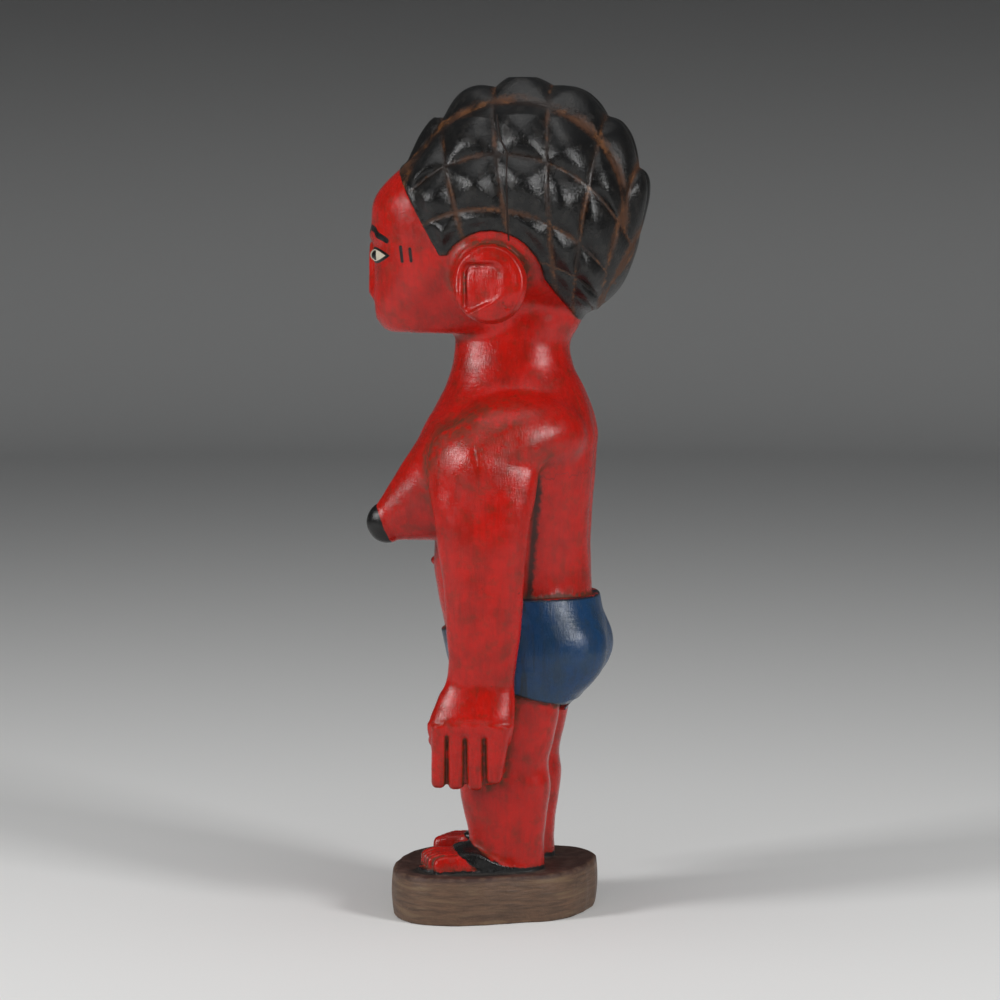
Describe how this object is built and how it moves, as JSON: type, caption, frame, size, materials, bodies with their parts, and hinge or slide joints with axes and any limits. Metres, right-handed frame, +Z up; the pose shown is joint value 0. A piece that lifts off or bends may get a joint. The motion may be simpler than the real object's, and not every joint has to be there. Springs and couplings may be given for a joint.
{
  "type": "spirit spouse figure",
  "caption": "Painted wooden spirit spouse figure of a standing woman with knobbed black hair, large round ears, straight arms, blue shorts and strapped sandals on a low oval base",
  "frame": {"origin": "centre of the base's underside, below the figure's midline", "axes": "+Z up, the figure faces -Y and its left side is +X"},
  "size_m": [0.1067, 0.1219, 0.3585],
  "materials": {
    "painted_wood": "painted"
  },
  "bodies": {
    "root": {"figure": "painted_wood"}
  },
  "joints": []
}
